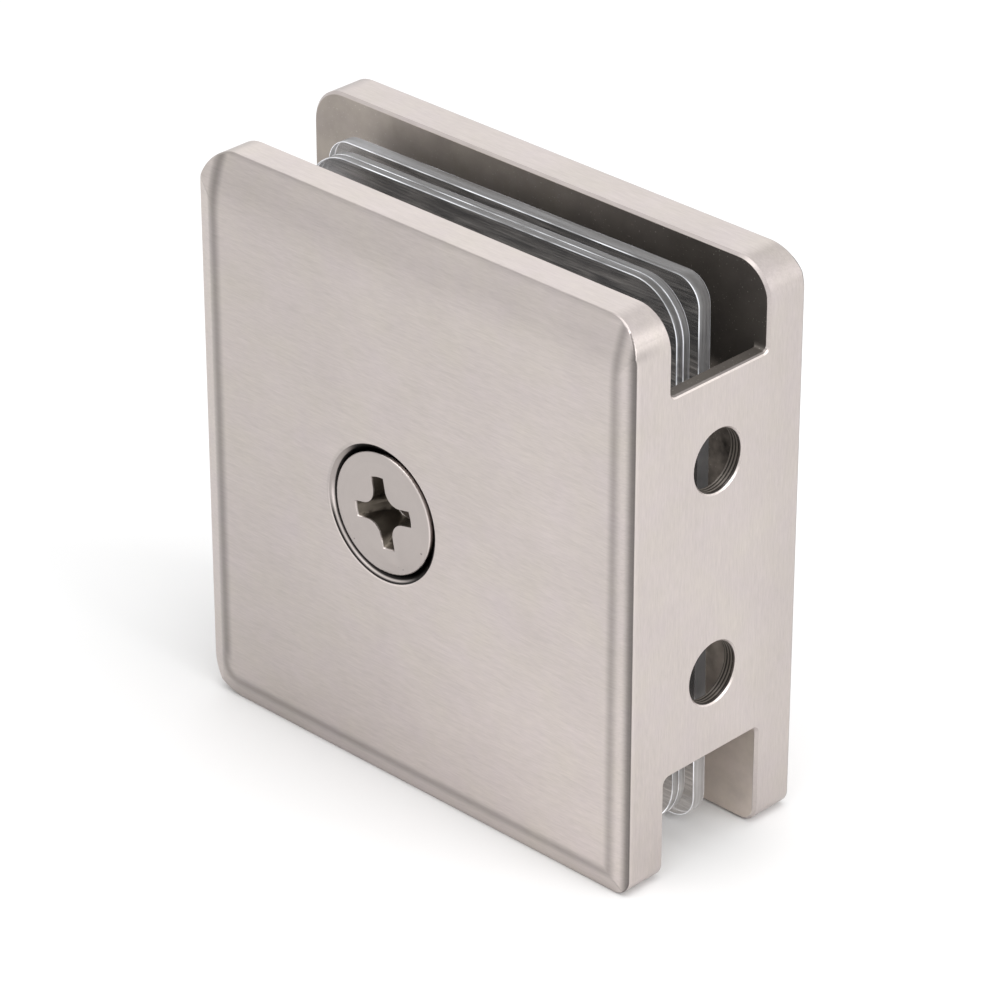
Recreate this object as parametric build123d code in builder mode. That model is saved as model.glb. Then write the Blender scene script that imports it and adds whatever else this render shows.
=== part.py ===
from build123d import *
import os

# Clamp that holds a glass pane to a wall. A one-piece U body is screwed to the wall through
# its thin web. The pane stands in the slot between clear gaskets, and one countersunk screw
# crosses the slot and draws the two plates together.
# Frame: origin in the middle of the wall face, +X into the wall, front plate towards -Y, +Z up.
# All sizes are in millimetres.

# Body: two plates and the web between them
plate_height = 51.0
front_reach = 48.4      # wall face to the open end of the front plate
rear_reach = 50.8       # the rear plate reaches a little further
plate_thick = 4.6
slot_width = 11.1
corner_r = 3.4
foot_corner_r = 1.6     # the lower corner at the wall, tighter than the other three
web_thick = 1.25
web_height = 34.4
web_lift = 1.05         # the web and its holes sit this far above the plates' middle
notch_r = 0.5           # where an end of the web turns into a plate

# Dressing of the outer faces: bevels on three sides, a rolled crown on the fourth
bevel_width = 1.7
bevel_drop = 0.45
bevel_soft = 3.0        # radius where a face turns into its bevel
crown_height = 5.6
crown_drop_front = 1.5
crown_drop_rear = 0.85
crown_lead = 0.2        # the crown's arc ends this far past the top
rim_r = 0.2             # round between an outer face and the sides
edge_break = 0.25       # bevel along the slot's edges
hole_break = 0.15       # bevel at the mouth of the wall holes

# Wall holes
wall_hole_d = 5.5
wall_hole_pitch = 19.2

# Clamp screw, M6 countersunk with a cross recess
screw_x = -27.2
screw_z = -0.5
screw_d = 6.0
head_d = 10.8
sink_d = 12.2           # mouth of the countersink
sink_clear = 0.15       # along the axis, between the head and its seat
head_sink = 0.1         # top of the head below the face
shank_clear = 0.35      # radial, in the front plate
thread_clear = 0.05     # radial, in the tapped hole
tap_depth = 3.7
tip_clear = 0.4         # end of the screw to the bottom of the tapped hole
tip_chamfer = 0.7
recess_span = 6.5
recess_arm = 1.4
recess_corner_r = 1.4
recess_depth = 3.6
recess_tip_r = 1.4      # radius at the foot of the arms
recess_turn = 11.5      # the cross stands turned by this much
head_edge_r = 0.15

# Clear gaskets that hang on the screw
gasket_width = 41.2
gasket_height = 49.2
gasket_inset = 3.5         # wall face to the gaskets' near edge
gasket_clear = 0.3         # radial, round the screw
gasket_hole_up = 0.1       # the hole sits this far above the gasket's middle
gasket_swing = 0.7         # degrees the gaskets have turned on the screw
sheet_thick = 0.75      # each of the two front sheets
rear_gasket_thick = 1.35
front_sheet_corner_r = 4.6
rear_gasket_corner_r = 2.4
front_sheet_y = -0.95   # front face of the front pair
gasket_gap = 1.05          # between the front pair and the rear gasket

half_slot = slot_width / 2
half_height = plate_height / 2
face_y = half_slot + plate_thick
web_top = web_lift + web_height / 2
web_bottom = web_lift - web_height / 2
screw_r = screw_d / 2
screw_axis = Axis((screw_x, 0, screw_z), (0, 1, 0))
screw_section = Plane(origin=(screw_x, 0, screw_z), x_dir=(1, 0, 0), z_dir=(0, 0, 1))


def plate(reach, crown_drop):
    # A plate with its inner face on the XZ plane and its dressed face towards -Y.
    with BuildPart() as shape:
        with BuildSketch(Plane.XZ):
            with Locations((-reach / 2, 0)):
                Rectangle(reach, plate_height)
            foot_corner = (0, -half_height)
            fillet(vertices().sort_by_distance(foot_corner)[1:], corner_r)
            fillet(vertices().sort_by_distance(foot_corner)[0], foot_corner_r)
        extrude(amount=plate_thick)

        # Bevels on the wall side and the open side
        over = 2.0
        fall = over * bevel_drop / bevel_width
        shoulder = bevel_drop - plate_thick
        with BuildSketch(Plane.XY.offset(-plate_height)):
            with BuildLine():
                Polyline((over, over), (over, shoulder + fall), (-bevel_width, -plate_thick),
                         (bevel_width - reach, -plate_thick), (-reach - over, shoulder + fall),
                         (-reach - over, over), close=True)
            make_face()
            fillet(vertices().group_by(Axis.Y)[0], bevel_soft)
        extrude(amount=2 * plate_height, mode=Mode.INTERSECT)

        # Bevel at the bottom and the crown at the top
        crown_foot = half_height - crown_height
        crown_edge = half_height + crown_lead
        with BuildSketch(Plane.YZ.offset(-reach - over)):
            with BuildLine():
                foot = Polyline((-plate_thick, crown_foot),
                                (-plate_thick, bevel_width - half_height),
                                (shoulder + fall, -half_height - over),
                                (over, -half_height - over), (over, crown_edge),
                                (crown_drop - plate_thick, crown_edge))
                TangentArc(foot @ 0, foot @ 1, tangent=(0, 1))
            make_face()
            bevel_top = vertices().sort_by_distance((-plate_thick, bevel_width - half_height))[0]
            fillet(bevel_top, bevel_soft)
        extrude(amount=reach + 2 * over, mode=Mode.INTERSECT)

        # Soft rim all round the dressed face
        inner_edges = edges().filter_by_position(Axis.Y, -0.01, 0.01)
        side_faces = faces().filter_by(lambda f: abs(f.normal_at().Y) < 1e-4)
        rim = (side_faces.edges() - inner_edges).filter_by(Axis.Y, reverse=True)
        fillet(rim, rim_r)
    return shape.part


def is_inner_rim(edge):
    # True for the outline of the plates' inner faces and for the web's two outer long edges.
    middle = edge @ 0.5
    on_inner_face = abs(abs(middle.Y) - half_slot) < 0.01
    on_wall_face = abs(middle.X) < 0.01 and abs(middle.Y) < half_slot
    across = edge.geom_type == GeomType.CIRCLE and edge.radius > 2.4 and on_wall_face
    return (on_inner_face or on_wall_face) and not across


front_plate = plate(front_reach, crown_drop_front)
rear_plate = plate(rear_reach, crown_drop_rear)

with BuildPart() as clamp_body:
    with Locations((0, -half_slot, 0)):
        add(front_plate)
    with Locations((0, half_slot, 0)):
        add(rear_plate.mirror(Plane.XZ))

    # Web, sunk into both plates so that it becomes one piece with them
    sunk = plate_thick / 2
    with BuildSketch(Plane.YZ.offset(-web_thick)):
        with Locations((0, web_lift)):
            Rectangle(slot_width + 2 * sunk, web_height)
    extrude(amount=web_thick)
    corners = edges().filter_by(Axis.X).filter_by_position(Axis.Y, -half_slot, half_slot)
    fillet(corners.filter_by_position(Axis.X, -web_thick, 0), notch_r)

    # Wall holes, a little broken at their mouths
    wall_hole_r = wall_hole_d / 2
    with Locations(Plane(origin=(0, 0, web_lift), x_dir=(0, 1, 0), z_dir=(1, 0, 0))):
        with GridLocations(1, wall_hole_pitch, 1, 2):
            CounterSinkHole(wall_hole_r, wall_hole_r + hole_break, depth=web_thick,
                            counter_sink_angle=90)

    # Countersunk hole through the front plate
    with Locations(Plane(origin=(screw_x, -face_y, screw_z), x_dir=(1, 0, 0), z_dir=(0, -1, 0))):
        CounterSinkHole(screw_r + shank_clear, sink_d / 2, depth=plate_thick, counter_sink_angle=90)

    # Blind tapped hole in the rear plate, its thread left plain
    with BuildSketch(Plane.XZ.offset(-half_slot)):
        with Locations((screw_x, screw_z)):
            Circle(screw_r + thread_clear)
    extrude(amount=-tap_depth, mode=Mode.SUBTRACT)

    # Broken edges round the inner faces and the ends of the web
    inner_rim = edges().filter_by(lambda e: is_inner_rim(e))
    chamfer(inner_rim, edge_break)
clamp_body.part.label = "clamp_body"

# Cross recess: a cross-shaped pocket whose arms run in along a cone
head_top = head_sink - face_y
with BuildPart() as recess:
    with BuildSketch(Plane.XZ.offset(-head_top)):
        with Locations(Location((screw_x, screw_z), recess_turn)):
            Rectangle(recess_span, recess_arm)
            Rectangle(recess_arm, recess_span)
        inner_corners = vertices().sort_by_distance((screw_x, screw_z))[0:4]
        fillet(inner_corners, recess_corner_r)
    extrude(amount=-recess_depth)
    with BuildSketch(screw_section):
        with BuildLine():
            Polyline((0, head_top), (recess_span / 2, head_top),
                     (recess_tip_r, head_top + recess_depth - recess_tip_r / 2),
                     (0, head_top + recess_depth), close=True)
        make_face()
    revolve(axis=screw_axis, mode=Mode.INTERSECT)

# Screw: countersunk head, plain shank at the thread's outer size, chamfered tip
seat_depth = (sink_d - head_d) / 2 - sink_clear     # lower edge of the head's rim, below the face
neck_y = seat_depth - face_y + (head_d - screw_d) / 2
tip_y = half_slot + tap_depth - tip_clear
with BuildPart() as clamp_screw:
    with BuildSketch(screw_section):
        with BuildLine():
            Polyline((0, head_top), (head_d / 2, head_top), (head_d / 2, seat_depth - face_y),
                     (screw_r, neck_y), (screw_r, tip_y - tip_chamfer),
                     (screw_r - tip_chamfer, tip_y), (0, tip_y), close=True)
        make_face()
        head_corner = vertices().sort_by_distance((head_d / 2, head_top))[0]
        fillet(head_corner, head_edge_r)
    revolve(axis=screw_axis)
    add(recess.part, mode=Mode.SUBTRACT)
clamp_screw.part.label = "clamp_screw"

# Gaskets: die-cut sheets that hang on the screw, turned a little, with a hole round the shank
gasket_middle = Location((gasket_width / -2 - gasket_inset - screw_x, -gasket_hole_up))
swung = Plane(origin=(screw_x, 0, screw_z), x_dir=Vector(1, 0, 0).rotate(Axis.Y, -gasket_swing),
              z_dir=(0, -1, 0))
hole_r = screw_r + gasket_clear
inner_sheet_y = front_sheet_y + sheet_thick
rear_gasket_y = inner_sheet_y + sheet_thick + gasket_gap

with BuildPart() as front_gasket_outer:
    with BuildSketch(swung.offset(-front_sheet_y)):
        with Locations(gasket_middle):
            RectangleRounded(gasket_width, gasket_height, front_sheet_corner_r)
        Circle(hole_r, mode=Mode.SUBTRACT)
    extrude(amount=-sheet_thick)
front_gasket_outer.part.label = "front_gasket_outer"

with BuildPart() as front_gasket_inner:
    with BuildSketch(swung.offset(-inner_sheet_y)):
        with Locations(gasket_middle):
            RectangleRounded(gasket_width, gasket_height, front_sheet_corner_r)
        Circle(hole_r, mode=Mode.SUBTRACT)
    extrude(amount=-sheet_thick)
front_gasket_inner.part.label = "front_gasket_inner"

with BuildPart() as rear_gasket:
    with BuildSketch(swung.offset(-rear_gasket_y)):
        with Locations(gasket_middle):
            RectangleRounded(gasket_width, gasket_height, rear_gasket_corner_r)
        Circle(hole_r, mode=Mode.SUBTRACT)
    extrude(amount=-rear_gasket_thick)
rear_gasket.part.label = "rear_gasket"

os.makedirs("parts", exist_ok=True)
export_step(clamp_body.part, "parts/clamp_body.step")
export_step(clamp_screw.part, "parts/clamp_screw.step")
export_step(front_gasket_outer.part, "parts/front_gasket_outer.step")
export_step(front_gasket_inner.part, "parts/front_gasket_inner.step")
export_step(rear_gasket.part, "parts/rear_gasket.step")
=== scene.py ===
import math

import bmesh
import bpy
from mathutils import Matrix, Vector


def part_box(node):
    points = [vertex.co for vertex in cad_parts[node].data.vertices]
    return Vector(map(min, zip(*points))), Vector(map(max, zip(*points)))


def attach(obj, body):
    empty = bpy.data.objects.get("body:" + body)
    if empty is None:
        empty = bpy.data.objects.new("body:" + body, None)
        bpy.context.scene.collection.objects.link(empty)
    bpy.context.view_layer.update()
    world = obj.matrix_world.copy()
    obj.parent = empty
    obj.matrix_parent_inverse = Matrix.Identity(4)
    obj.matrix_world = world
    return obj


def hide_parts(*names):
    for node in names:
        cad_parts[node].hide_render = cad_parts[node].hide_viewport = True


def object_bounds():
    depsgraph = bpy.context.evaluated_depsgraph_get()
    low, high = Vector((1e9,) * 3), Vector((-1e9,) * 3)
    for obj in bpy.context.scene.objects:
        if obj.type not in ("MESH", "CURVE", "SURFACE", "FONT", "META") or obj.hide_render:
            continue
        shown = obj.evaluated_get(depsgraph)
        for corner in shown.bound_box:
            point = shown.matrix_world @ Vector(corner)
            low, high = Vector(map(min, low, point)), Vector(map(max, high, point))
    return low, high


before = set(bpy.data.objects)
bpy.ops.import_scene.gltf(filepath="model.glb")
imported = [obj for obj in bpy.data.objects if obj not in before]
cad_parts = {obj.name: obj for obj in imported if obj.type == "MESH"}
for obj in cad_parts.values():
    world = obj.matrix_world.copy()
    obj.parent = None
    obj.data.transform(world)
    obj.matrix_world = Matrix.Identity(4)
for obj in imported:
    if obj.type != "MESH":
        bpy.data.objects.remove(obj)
cad_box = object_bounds()
mm = 0.001


# Studio. The clamp stands on a pale sweep under a large soft box, and the camera looks
# down on the corner between its front plate and its wall side.
view_azimuth, view_elevation = math.radians(44.065), math.radians(28.749)
view_distance = 389.59 * mm
aim = Vector((-23.685 * mm, 0, -1.829 * mm))
look = Vector((-math.sin(view_azimuth) * math.cos(view_elevation),
               math.cos(view_azimuth) * math.cos(view_elevation),
               -math.sin(view_elevation)))
camera_data = bpy.data.cameras.new("camera")
camera_data.sensor_width = 36
camera_data.lens = 170.755
camera_data.clip_start = 0.01
camera = bpy.data.objects.new("camera", camera_data)
camera.location = aim - look * view_distance
camera.rotation_mode = "QUATERNION"
camera.rotation_quaternion = look.to_track_quat("-Z", "Y")
bpy.context.collection.objects.link(camera)
bpy.context.scene.camera = camera
bpy.context.scene.view_settings.view_transform = "Standard"


class Flow:
    """One socket of a shader tree, used in expressions like a number."""

    def __init__(self, tree, socket):
        self.tree, self.socket = tree, socket

    def math(self, operation, first, second=None):
        step = self.tree.nodes.new("ShaderNodeMath")
        step.operation = operation
        for plug, value in zip(step.inputs, (first, second)):
            if isinstance(value, Flow):
                self.tree.links.new(value.socket, plug)
            elif value is not None:
                plug.default_value = value
        return Flow(self.tree, step.outputs[0])

    def __add__(self, other):
        return self.math("ADD", self, other)

    def __sub__(self, other):
        return self.math("SUBTRACT", self, other)

    def __rsub__(self, other):
        return self.math("SUBTRACT", other, self)

    def __mul__(self, other):
        return self.math("MULTIPLY", self, other)

    def __truediv__(self, other):
        return self.math("DIVIDE", self, other)

    def __pow__(self, other):
        return self.math("POWER", self, other)

    def __gt__(self, other):
        return self.math("GREATER_THAN", self, other)

    def __lt__(self, other):
        return self.math("LESS_THAN", self, other)

    def __abs__(self):
        return self.math("ABSOLUTE", self)

    __radd__ = __add__
    __rmul__ = __mul__

    def low(self, other):
        return self.math("MINIMUM", self, other)

    def high(self, other):
        return self.math("MAXIMUM", self, other)


class Finish:
    """A surface finish: a material, its main shader, and the nodes that feed it."""

    def __init__(self, name, shader="ShaderNodeBsdfPrincipled", owner=None):
        self.owner = owner or bpy.data.materials.new(name)
        self.owner.use_nodes = True
        self.tree = self.owner.node_tree
        self.tree.nodes.clear()
        kind = "ShaderNodeOutputMaterial" if owner is None else "ShaderNodeOutputWorld"
        output = self.tree.nodes.new(kind)
        self.shader = self.tree.nodes.new(shader)
        self.tree.links.new(self.shader.outputs[0], output.inputs["Surface"])

    def plug(self, socket, value):
        if isinstance(value, Flow):
            self.tree.links.new(value.socket, socket)
        else:
            socket.default_value = value

    def node(self, kind, settings=None, sockets=None, out=0):
        """A new node with its settings and inputs, as the Flow of one of its outputs."""
        made = self.tree.nodes.new("ShaderNode" + kind)
        settings = dict(settings or {})
        stops = settings.pop("stops", None)
        for key, value in settings.items():
            setattr(made, key, value)
        if stops:
            ramp = made.color_ramp.elements
            while len(ramp) < len(stops):
                ramp.new(0.5)
            for element, (place, value) in zip(ramp, stops):
                element.position, element.color = place, (value, value, value, 1)
        for key, value in (sockets or {}).items():
            self.plug(made.inputs[key], value)
        return Flow(self.tree, made.outputs[out])

    def set(self, **sockets):
        for key, value in sockets.items():
            self.plug(self.shader.inputs[key.replace("_", " ")], value)

    def place(self, out="Object"):
        return self.node("TexCoord", out=out)

    def parts(self, vector):
        split = self.tree.nodes.new("ShaderNodeSeparateXYZ")
        self.tree.links.new(vector.socket, split.inputs[0])
        return [Flow(self.tree, plug) for plug in split.outputs]

    def join(self, x, y, z):
        return self.node("CombineXYZ", sockets={0: x, 1: y, 2: z})

    def length(self, x, y, z):
        return self.node("VectorMath", {"operation": "LENGTH"}, {0: self.join(x, y, z)}, out=1)

    def soft_step(self, value, low, high):
        """0 below low, 1 above high, smooth between; the other way round if low > high."""
        start, end = (0, 1) if low < high else (1, 0)
        return self.node("MapRange", {"interpolation_type": "SMOOTHSTEP"},
                         {"Value": value, "From Min": min(low, high), "From Max": max(low, high),
                          "To Min": start, "To Max": end})

    def bell(self, value, middle, half):
        """1 at the middle, falling smoothly to 0 at half on either side of it."""
        return self.soft_step(abs(value - middle), half, 0)

    def blend(self, amount, first, second):
        colours = [value if isinstance(value, Flow) else (*value, 1) for value in (first, second)]
        return self.node("Mix", {"data_type": "RGBA"},
                         {0: amount, 6: colours[0], 7: colours[1]}, out=2)

    def grain(self, vector, scale, detail=2, rough=0.5):
        return self.node("TexNoise", sockets={"Vector": vector, "Scale": scale,
                                              "Detail": detail, "Roughness": rough})


def paint(piece, finish):
    piece.data.materials.clear()
    piece.data.materials.append(finish.owner)


# The world is plain white to the camera and to reflections, and lights softly from above.
world = bpy.data.worlds.new("studio")
bpy.context.scene.world = world
air = Finish("studio", "ShaderNodeBackground", world)
seen = air.node("LightPath", out="Is Camera Ray")
mirrored = air.node("LightPath", out="Is Glossy Ray")
through = air.node("LightPath", out="Is Transmission Ray")
air.set(Color=(1, 1, 1, 1), Strength=0.6 + 0.4 * seen.high(mirrored).high(through))

floor_level = cad_box[0].z
bpy.ops.mesh.primitive_plane_add(size=4, location=(0, 0, floor_level))
floor = bpy.context.active_object
floor.name = "floor"
sweep = Finish("sweep")
sweep.set(Base_Color=(0.93, 0.93, 0.93, 1), Roughness=0.9)
sweep.shader.inputs["Specular IOR Level"].default_value = 0
paint(floor, sweep)


def soft_box(name, place, target, size, power):
    data = bpy.data.lights.new(name, "AREA")
    data.shape = "RECTANGLE"
    data.size, data.size_y = size
    data.energy = power
    lamp = bpy.data.objects.new(name, data)
    lamp.location = place
    lamp.rotation_mode = "QUATERNION"
    lamp.rotation_quaternion = (Vector(target) - Vector(place)).to_track_quat("-Z", "Y")
    bpy.context.collection.objects.link(lamp)


soft_box("top_box", (0.05, -0.1, 0.75), (0, 0, 0), (0.8, 0.8), 4)
soft_box("side_box", (0.7, 0.1, 0.35), (0, 0, 0), (0.5, 0.5), 2.5)
soft_box("back_box", (-0.55, 0.57, 0.43), (0, 0, 0), (0.5, 0.4), 0.35)


# Clamp body. One brass casting, two square plates joined by a thin web at the wall side,
# brushed along the plates' width and nickel plated. The inside of the slot stays as cast.
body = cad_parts["clamp_body"]
slot_half = 5.55 * mm
plate_half = 25.5 * mm
front_reach, rear_reach = 48.4 * mm, 50.8 * mm
bevel, corner_radius = 1.7 * mm, 3.4 * mm
dressed_from = 8.2 * mm     # bevels and crowns lie further from the middle than this
wall_layer = 0.3 * mm       # depth of the wall side with its broken edges
web_back = 1.4 * mm         # just behind the web
screw_place = Vector((-27.2 * mm, -0.5 * mm))
seat_radius = 6.1 * mm
hole_radius, hole_middle, hole_up = 2.75 * mm, 1.05 * mm, 9.6 * mm
nickel = (0.52, 0.47, 0.448)
as_cast = (0.52, 0.46, 0.41)
bare_fleck = (0.7, 0.66, 0.6)

brushed = Finish("brushed_nickel")
step, bell, grain = brushed.soft_step, brushed.bell, brushed.grain
spot = brushed.place()
x, y, z = brushed.parts(spot)
nx, ny, nz = brushed.parts(brushed.place("Normal"))

outside = abs(y) > dressed_from
face = outside * step(abs(ny), 0.75, 0.85)
rim = outside * step(abs(ny), 0.9, 0.8) * step(abs(ny), 0.15, 0.3)
wall_side = step(nx, 0.75, 0.85) * (x > -0.4 * mm)
inside = (abs(y) < slot_half + 0.02 * mm) * (x < -wall_layer)

# Brush marks run along the width on the plates and along the height on the wall side.
along_width = grain(brushed.join(x * 260, y * 2600, z * 3400), 1, 3, 0.6)
along_height = grain(brushed.join(x * 3400, y * 3400, z * 260), 1, 3, 0.6)
streak = along_width + (along_height - along_width) * wall_side
short_along = grain(brushed.join(x * 900, y * 9000, z * 9000), 1, 2, 0.6)
short_up = grain(brushed.join(x * 9000, y * 9000, z * 900), 1, 2, 0.6)
scratch = short_along + (short_up - short_along) * wall_side
blotch = grain(spot, 160, 3, 0.55)
tint = grain(spot, 260, 3, 0.6) - 0.5

# Painted shade: darker lines at the foot of each bevel, along its rims and mitres and under
# the top edge. They follow the rounded corner between the open side and the foot.
reach = front_reach + (rear_reach - front_reach) * (y > 0)
from_wall, from_open, from_foot = -1 * x, x + reach, z + plate_half
open_in, foot_in = corner_radius - from_open, corner_radius - from_foot
round_corner = (open_in.high(0) ** 2 + foot_in.high(0) ** 2) ** 0.5
edge_gap = from_wall.low(corner_radius - round_corner - open_in.high(foot_in).low(0))
above_corner = step(from_foot, 2.5 * mm, 4.5 * mm)
foot_shade_line = face * bell(edge_gap, bevel + 0.1 * mm, 0.75 * mm)
open_shade_line = face * above_corner * bell(from_open, bevel + 0.25 * mm, 0.9 * mm)
mitre_shade = face * (edge_gap < bevel) * bell(from_wall - from_foot, 0, 0.25 * mm)
wall_shade_line = face * bell(from_wall, 0.1 * mm, 0.8 * mm)
wall_rim_shade = rim * (from_wall < 1.2 * mm) * step(nx, 0.2, 0.4)
top_rim = rim * (z > plate_half - 0.7 * mm)
crease_shade = top_rim.high(face * step(z, plate_half - 0.5 * mm, plate_half - 0.1 * mm) * 0.5)
shade_lines = (foot_shade_line * 0.34).high(open_shade_line * 0.42).high(mitre_shade * 0.2).high(crease_shade * 0.24)
tone = 1 - shade_lines.high(wall_shade_line * 0.66).high(wall_rim_shade * 0.7)
tone = tone * (1 + (streak - 0.5) * 0.16 + (scratch - 0.5) * 0.26 + (blotch - 0.5) * 0.1)

# Painted light and shade: broad brighter and darker areas on the faces, their bevels and the wall
# side
to_wall = step(x, -46 * mm, -2 * mm)
low_down = face * step(z, 4 * mm, -22 * mm)
open_band = face * step(from_open, 1.5 * mm, 1.1 * mm)
foot_band = face * step(from_foot, 1.6 * mm, 1.2 * mm)
tone = tone * (1 + open_band * 0.12 - foot_band * 0.05 + low_down * (to_wall * 0.14 - 0.06))
tone = tone * (1 + face * (to_wall * 0.09 - 0.03))
tone = tone * (1 + wall_side * step(y, -9.0 * mm, -9.6 * mm) * 0.1)
tone = tone * (1 + wall_side * (0.06 - step(y, 2 * mm, 9 * mm) * 0.06))

# Painted highlights and shade: the web's broken edge bright with a darker band inside it, the
# rounded corners at the wall bright with a darker band below, the rear plate's top a little
# darker.
upper = z > 15 * mm
web_edge = (abs(y) < slot_half) * (x > -wall_layer) * step(nz, 0.3, 0.5)
wall_corner = step(nx, 0.1, 0.45) * upper * bell(nz, 0.5, 0.4)
rear_top = (y > 0) * step(nz, 0.8, 0.98)
tone = tone * (1 + web_edge * 0.4 + wall_corner * 0.15 - rear_top * 0.05)
tone = tone * (1 - web_edge * (x < -0.12 * mm) * 0.68)
painted_corner_gleam = 0.16 * bell(nz, 0.62, 0.2) - 0.2 * bell(nz, 0.26, 0.2) * step(y, -6 * mm, -9.6 * mm)
tone = tone * (1 + (y < 0) * upper * step(nx, 0.1, 0.3) * painted_corner_gleam)

# Painted shade and light in the countersink: a dark ring of painted shade round the head,
# painted grey near the mouth on the open side and lighter on the side towards the light, with a
# painted highlight round its lower half and painted shade just outside it on the open side.
dx, dz = (x - screw_place.x) / seat_radius, (z - screw_place.y) / seat_radius
from_screw = seat_radius * brushed.length(dx, 0, dz)
in_front = y < -slot_half - 0.3 * mm
seat = in_front * (from_screw < seat_radius + 0.02 * mm)
open_side = step(dx * -0.94 + dz * 0.34, 0.72, 0.93)
low_side = step(dx * -0.5 - dz * 0.87, 0.3, 0.7)
light_side = step(dx * 0.82 + dz * 0.57, 0.4, 0.8)
seat_shade_and_light = 0.05 + open_side * step(from_screw, 5.76 * mm, 5.82 * mm) * 0.68
seat_shade_and_light = seat_shade_and_light + light_side * 0.7 + low_side * bell(from_screw, 5.9 * mm, 0.13 * mm) * 1.1
mouth_highlight = in_front * low_side * bell(from_screw, seat_radius + 0.12 * mm, 0.12 * mm)
halo_shade = in_front * open_side * step(from_screw, 6.5 * mm, 6.25 * mm)
tone = tone * (1 - halo_shade * 0.12)
tone = tone + (seat_shade_and_light - tone) * seat + mouth_highlight * 0.3

# The skin inside the slot is left as cast, browner, with painted shade that is darkest beside the
# web.
slot_shade_stops = ((0.0, 0.66), (0.08, 0.72), (0.3, 0.72), (0.95, 0.2))
skin_and_shade = brushed.node("ValToRGB", {"stops": slot_shade_stops}, {0: step(x, -rear_reach, 0)})
# Painted light low in the slot towards the web and on the web's land.
skin_and_shade = skin_and_shade * (1.08 + 5 * step(z, 2 * mm, -18 * mm) * step(x, -20 * mm, -8 * mm))
skin_and_shade = skin_and_shade + (nz > 0.7) * (x > -1.35 * mm) * 0.06
# Painted shadow on the rear plate beside the rear sheet's upper edge.
sheet_shadow_band = (y > 0) * step(x, -47 * mm, -40 * mm) * step(x, -8 * mm, -20 * mm)
skin_and_shade = skin_and_shade * (1 - 0.3 * sheet_shadow_band * bell(z, 22.4 * mm, 2.6 * mm))
skin_and_shade = skin_and_shade * (1 + (grain(spot, 420, 4, 0.6) - 0.5) * 0.5)

# The wall holes are drilled, so they show fine rings; a painted highlight runs round the mouth.
ring_pitch = 0.3 * mm
from_hole = brushed.length(0, y, abs(z - hole_middle) - hole_up)
turned = (from_hole < hole_radius + 0.1 * mm) * (x > -web_back)
wave = brushed.node("Math", {"operation": "SINE"}, {0: x * (2 * math.pi / ring_pitch)})
skin_and_shade = skin_and_shade + ((0.55 + 0.45 * wave) * 0.75 - skin_and_shade) * turned
hole_highlight = (x > -wall_layer) * bell(from_hole, hole_radius + 0.08 * mm, 0.14 * mm)
tone = tone * (1 + 0.14 * hole_highlight)
tone = tone + (skin_and_shade.low(1.3) - tone) * inside

fleck = inside * step(grain(spot, 5200, 1, 0.5), 0.70, 0.74)
tinted = brushed.join(tone, tone * (1 + tint * 0.03), tone * (1 - tint * 0.08))
colour = brushed.node("Mix", {"data_type": "RGBA", "blend_type": "MULTIPLY"},
                      {0: 1.0, 6: brushed.blend(inside, nickel, as_cast), 7: tinted}, out=2)
ridge = brushed.node("Bump", sockets={"Height": streak, "Strength": 0.12, "Distance": 0.03 * mm})
brushed.set(Base_Color=brushed.blend(fleck * 0.35, colour, bare_fleck),
            Metallic=1 - inside * 0.4, Roughness=0.36 + (streak - 0.5) * 0.12 + inside * 0.1,
            Normal=ridge)

# Painted light: behind the wall holes the skin glows, standing in for light that falls into the
# slot.
behind = inside * step(x, -16 * mm, -7 * mm) * (x < -web_back)
behind = behind * step(abs(z - hole_middle), 15 * mm, 13 * mm)
painted_fill_glow = behind * (grain(spot, 420, 4, 0.65) - 0.3).high(0.01) * 0.26
brushed.set(Emission_Color=brushed.join(painted_fill_glow, painted_fill_glow * 0.86, painted_fill_glow * 0.74), Emission_Strength=1.0)
paint(body, brushed)


# Gaskets. Clear flexible sheets cut with a die, two thin ones in front and one thicker
# behind, each with a hole for the screw, on which they hang a little askew.
askew = math.radians(0.7)
sheet_width, sheet_height = 41.2 * mm, 49.2 * mm
sheet_inset = 3.5 * mm
hole_raised = 0.1 * mm      # the screw hole sits this far above the sheet's middle
screw_hole = 3.3 * mm
cut_edge = 0.07 * mm

# Painted light: the sheets glow at their cut edges and corners, along rubbed streaks and at
# their open and loose ends, but not in the shade behind the web.
clear_sheet = Finish("clear_sheet")
step, grain = clear_sheet.soft_step, clear_sheet.grain
x, y, z = clear_sheet.parts(clear_sheet.place())
face_on = abs(clear_sheet.parts(clear_sheet.place("Normal"))[1])
cut = step(face_on, 0.3, 0.2)
corner_line = step(face_on, 0.2, 0.4) * step(face_on, 0.99, 0.9)
flat = step(face_on, 0.97, 0.995)
lit = 1 - (x > -6 * mm) * step(abs(z - hole_middle), 14.6 * mm, 13.8 * mm)
combed = grain(clear_sheet.join(x * 90, y * 4200, z * 90), 1, 2, 0.5)
rubbed = grain(clear_sheet.join(x * 160, 0, z * 3000), 1, 3, 0.6)
patchy = grain(clear_sheet.join(x, y, z), 220, 2, 0.5)
open_end = step(x, -37 * mm, -43 * mm)
loose_end = step(z, -18 * mm, -21.5 * mm)
edge_glow_paint = cut * (combed - 0.42).high(0) * 0.3 + corner_line * (0.2 + (patchy - 0.35).high(0) * 3)
edge_glow_paint = 0.012 + (edge_glow_paint + 0.08 * patchy * open_end) * lit
streak_glow_paint = (rubbed - 0.45).high(0) * (0.3 + loose_end * 0.15) + loose_end * patchy * 0.17
streak_glow_paint = flat * lit * streak_glow_paint
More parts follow.
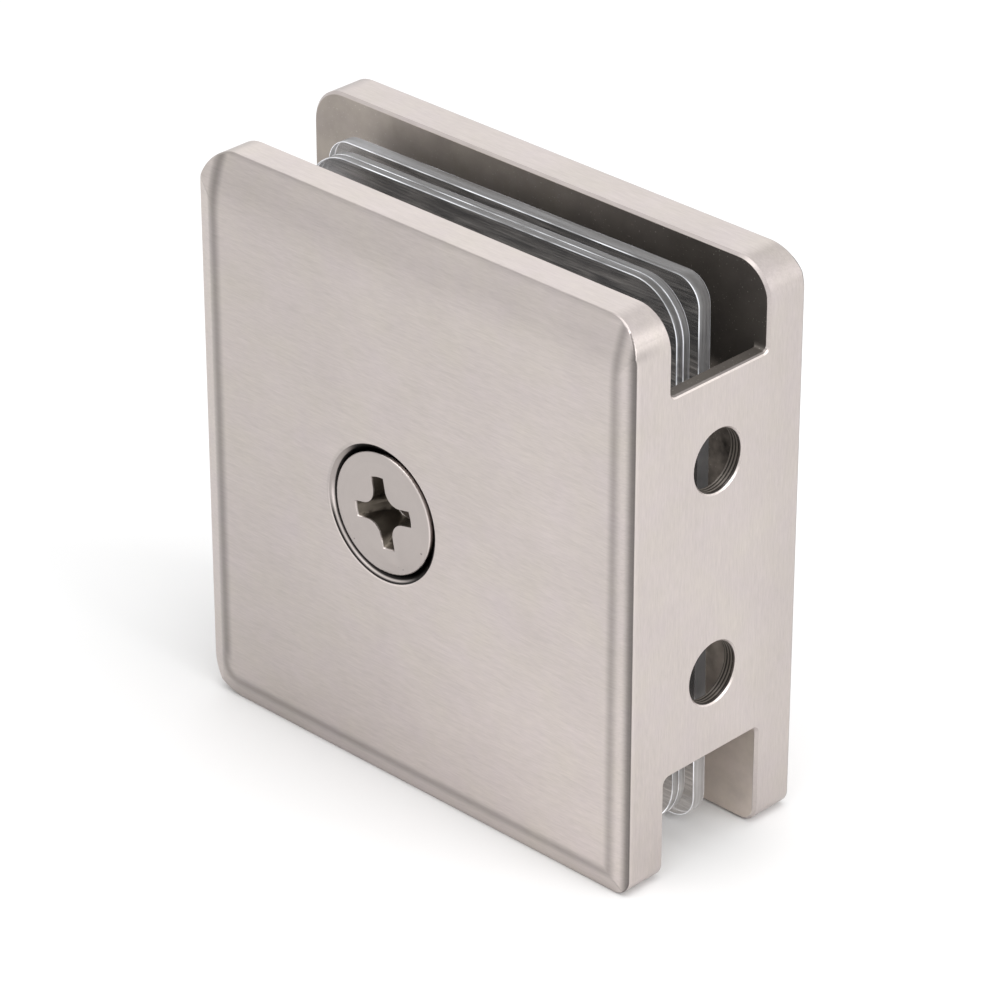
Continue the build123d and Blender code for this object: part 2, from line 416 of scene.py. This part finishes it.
clear_sheet.set(Base_Color=(0.3, 0.29, 0.285, 1), Roughness=0.08 + cut * 0.22, IOR=1.45,
                Emission_Color=clear_sheet.join(edge_glow_paint * 0.93 + streak_glow_paint, edge_glow_paint * 0.95 + streak_glow_paint * 0.93,
                                                edge_glow_paint + streak_glow_paint * 0.87),
                Emission_Strength=1.0, Transmission_Weight=0.9)


def die_cut(node, corner):
    """A sheet with round corners and a screw hole, as deep as its CAD solid."""
    low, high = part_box(node)
    outline = bpy.data.curves.new(node + "_cut", "CURVE")
    outline.dimensions = "2D"
    outline.fill_mode = "BOTH"
    outline.extrude = (high.y - low.y) / 2 - cut_edge
    outline.bevel_depth = cut_edge
    outline.bevel_resolution = 1
    outline.offset = -cut_edge
    middle = Vector((-sheet_width / 2 - sheet_inset - screw_place.x, -hole_raised))
    across, up = sheet_width / 2 - corner, sheet_height / 2 - corner
    corner_steps, ring_steps = 12, 64
    rounded = []
    for quarter, (side, end) in enumerate(((1, 1), (-1, 1), (-1, -1), (1, -1))):
        for i in range(corner_steps + 1):
            turn = math.pi / 2 * (quarter + i / corner_steps)
            rounded.append((middle.x + side * across + corner * math.cos(turn),
                            middle.y + end * up + corner * math.sin(turn)))
    ring = []
    for i in range(ring_steps):
        turn = 2 * math.pi * i / ring_steps
        ring.append((screw_hole * math.cos(turn), screw_hole * math.sin(turn)))
    for loop in (rounded, ring):
        spline = outline.splines.new("POLY")
        spline.points.add(len(loop) - 1)
        spline.use_cyclic_u = True
        for point, (px, py) in zip(spline.points, loop):
            point.co = (px, py, 0, 1)
    shaped = bpy.data.objects.new(node + "_curve", outline)
    bpy.context.collection.objects.link(shaped)
    mesh = bpy.data.meshes.new_from_object(shaped)
    bpy.data.objects.remove(shaped)
    mesh.transform(Matrix.Translation((screw_place.x, (low.y + high.y) / 2, screw_place.y))
                   @ Matrix.Rotation(-askew, 4, "Y") @ Matrix.Rotation(math.pi / 2, 4, "X"))
    made = bpy.data.objects.new(node + "_sheet", mesh)
    bpy.context.collection.objects.link(made)
    paint(made, clear_sheet)
    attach(made, "clamp")
    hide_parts(node)


die_cut("front_gasket_outer", 4.6 * mm)
die_cut("front_gasket_inner", 4.6 * mm)
die_cut("rear_gasket", 2.4 * mm)


# Clamp screw. An M6 machine screw with a countersunk head and a stamped cross recess, nickel
# plated. Its thread is rolled up to the head. It crosses the slot into the rear plate.
head_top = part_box("clamp_screw")[0].y
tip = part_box("clamp_screw")[1].y
neck = head_top + 2.8 * mm
crest, root, pitch = 2.98 * mm, 2.42 * mm, 1.0 * mm
tip_length = 0.7 * mm
recess_reach = 4 * mm       # the recess lies within this radius, the head's side outside it
weld = 0.002 * mm


def off_centre(point):
    return math.hypot(point.x - screw_place.x, point.z - screw_place.y)


def screw_head():
    """The head of the CAD screw, closed at the neck, its recess with a rounded mouth."""
    head = bmesh.new()
    head.from_mesh(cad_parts["clamp_screw"].data)
    head.transform(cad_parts["clamp_screw"].matrix_world)
    bmesh.ops.remove_doubles(head, verts=head.verts, dist=weld)
    shank = [f for f in head.faces if max(v.co.y for v in f.verts) > neck + 0.3 * mm]
    bmesh.ops.delete(head, geom=shank, context="FACES")
    bmesh.ops.holes_fill(head, edges=[e for e in head.edges if e.is_boundary])
    bmesh.ops.dissolve_limit(head, angle_limit=math.radians(0.5), verts=head.verts,
                             edges=head.edges)
    mouth_edges = [e for e in head.edges if e.is_manifold and e.calc_face_angle() > 0.5
                   and all(v.co.y < head_top + 0.01 * mm and off_centre(v.co) < recess_reach
                           for v in e.verts)]
    bmesh.ops.bevel(head, geom=mouth_edges, offset=0.12 * mm, segments=2, profile=0.5,
                    affect="EDGES", clamp_overlap=True)
    return head


def rolled_thread(mesh):
    """A helical thread from inside the head to the tip, its crest cut back by the tip's cone."""
    steps, start = 36, neck - 1.2 * mm
    turns = math.ceil((tip - start) / pitch)
    profile = ((0.0, root), (0.38, crest), (0.5, crest), (0.88, root))
    strips = []
    for i in range(turns * steps + 1):
        turn = 2 * math.pi * i / steps
        strip = []
        for share, radius in profile:
            along = min(start + (i / steps + share) * pitch, tip)
            limit = crest - tip_length + (tip - along)
            reach_out = min(radius, limit)
            strip.append(mesh.verts.new((screw_place.x + reach_out * math.cos(turn), along,
                                         screw_place.y + reach_out * math.sin(turn))))
        strips.append(strip)
    for i in range(turns * steps):
        here, beyond = strips[i], strips[i + 1]
        for k in range(3):
            mesh.faces.new((here[k], here[k + 1], beyond[k + 1], beyond[k]))
        if i + steps + 1 < len(strips):
            mesh.faces.new((here[3], strips[i + steps][0], strips[i + steps + 1][0], beyond[3]))
    mesh.faces.new([strip[3] for strip in strips[-steps - 1:-1]])


whole_screw = screw_head()
rolled_thread(whole_screw)
bmesh.ops.remove_doubles(whole_screw, verts=whole_screw.verts, dist=weld / 2)
bmesh.ops.recalc_face_normals(whole_screw, faces=whole_screw.faces)
screw_mesh = bpy.data.meshes.new("machine_screw")
whole_screw.to_mesh(screw_mesh)
whole_screw.free()
screw_mesh.shade_smooth()
screw_mesh.set_sharp_from_angle(angle=math.radians(28))
screw = bpy.data.objects.new("machine_screw", screw_mesh)
bpy.context.collection.objects.link(screw)

turned_nickel = Finish("turned_nickel")
step, bell, grain = turned_nickel.soft_step, turned_nickel.bell, turned_nickel.grain
spot = turned_nickel.place()
x, y, z = turned_nickel.parts(spot)
off_x, off_z = x - screw_place.x, z - screw_place.y
off_axis = turned_nickel.length(off_x, 0, off_z)
sunk = step(y, head_top + 0.1 * mm, head_top + 0.2 * mm)
recessed = sunk * (off_axis < recess_reach) * (y < neck)
flank = sunk * (off_axis > recess_reach) * (y < neck)
# Painted highlights on the head's edge on the side towards the light and round the recess mouth.
lit_side = step(off_x * 0.82 + off_z * 0.57, 2.4 * mm, 4.2 * mm)
head_edge_highlight = lit_side * bell(off_axis, 5.34 * mm, 0.1 * mm)
recess_rim_highlight = (off_axis < recess_reach) * bell(y, head_top + 0.06 * mm, 0.06 * mm)
swirl = grain(turned_nickel.join(off_axis * 3000, y * 3000, x * 60), 1, 2, 0.5)
turning = grain(turned_nickel.join(0, y * 9000, 0), 1, 2, 0.5)
cloud = grain(spot, 500, 3, 0.5)
nicks = step(grain(spot, 2600, 1, 0.4), 0.74, 0.78) * (off_axis > 4.6 * mm)
tone = 0.84 + (swirl - 0.5) * 0.05 + (cloud - 0.5) * 0.08 - nicks * 0.4
tone = tone * (1 + 0.6 * head_edge_highlight + 0.4 * recess_rim_highlight)
# Painted shade on the head's side in the countersink, with painted reflections of turning lines
# on its side towards the light.
tone = tone + (0.06 + lit_side * turning * 1.6 - tone) * flank
plated = turned_nickel.join(tone * nickel[0], tone * nickel[1], tone * nickel[2])
# Darker and browner in the cross recess.
recess_mottle = 0.7 + (cloud - 0.5) * 1.2
dark_recess_colour = turned_nickel.join(recess_mottle * 0.15, recess_mottle * 0.128, recess_mottle * 0.105)
turned_nickel.set(Base_Color=turned_nickel.blend(recessed, plated, dark_recess_colour), Metallic=1.0,
                  Roughness=0.3 + (cloud - 0.5) * 0.1 + recessed * 0.1)
paint(screw, turned_nickel)
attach(screw, "screw")
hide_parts("clamp_screw")
